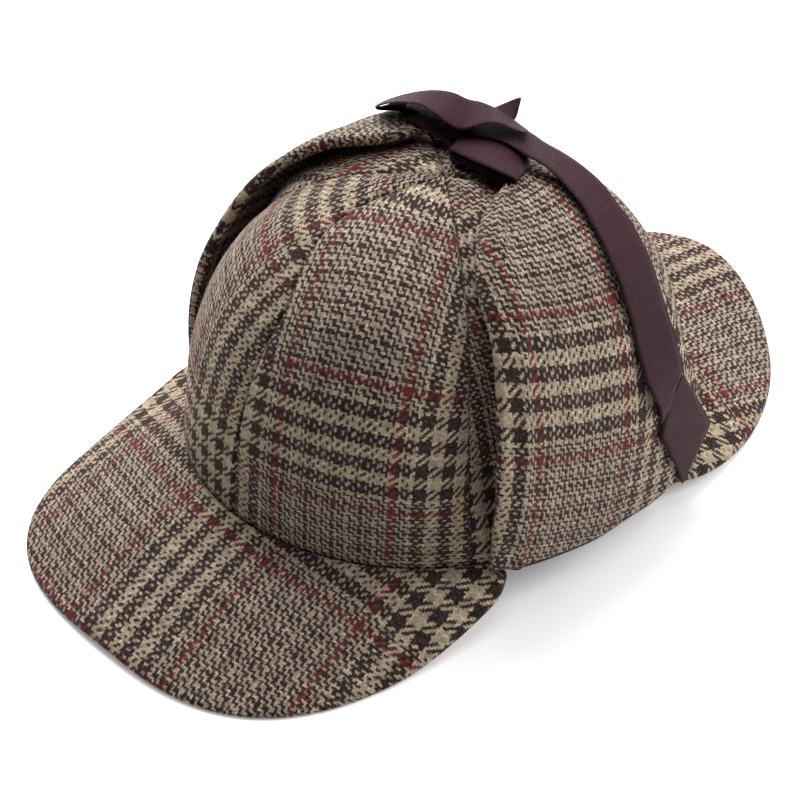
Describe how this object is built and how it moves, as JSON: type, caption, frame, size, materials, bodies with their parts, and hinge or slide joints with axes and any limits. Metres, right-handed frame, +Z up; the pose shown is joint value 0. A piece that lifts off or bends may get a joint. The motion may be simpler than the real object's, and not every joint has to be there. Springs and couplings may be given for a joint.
{
  "type": "deerstalker hat",
  "caption": "Soft cloth hat with a domed panelled crown, a peak in front and behind, and two ear flaps folded up and tied over the top with a ribbon bow",
  "frame": {"origin": "middle of the hat's bounding box in plan, on the surface that the hat rests on", "axes": "+Z up; the wearer faces -Y, so the front peak points to -Y and the back peak to +Y; +X is the wearer's left"},
  "size_m": [0.1892, 0.3298, 0.1435],
  "materials": {
    "tweed": "heavy wool twill in a brown and cream check with dark red lines",
    "lining": "black sweatband cloth",
    "ribbon": "plum-brown grosgrain, with a soft sheen"
  },
  "bodies": {
    "root": {"crown_panel_front_left": "tweed", "crown_panel_side_left": "tweed", "crown_panel_back_left": "tweed", "crown_panel_back_right": "tweed", "crown_panel_side_right": "tweed", "crown_panel_front_right": "tweed", "front_peak": "tweed", "back_peak": "tweed", "ear_flap_left": "tweed", "ear_flap_right": "tweed", "sweatband": "lining", "ribbon_knot": "ribbon", "ribbon_loop_left": "ribbon", "ribbon_loop_right": "ribbon", "ribbon_loop_back": "ribbon", "ribbon_tie_left": "ribbon", "ribbon_tie_right": "ribbon", "ribbon_tail_long": "ribbon", "ribbon_tail_short": "ribbon"}
  },
  "joints": []
}
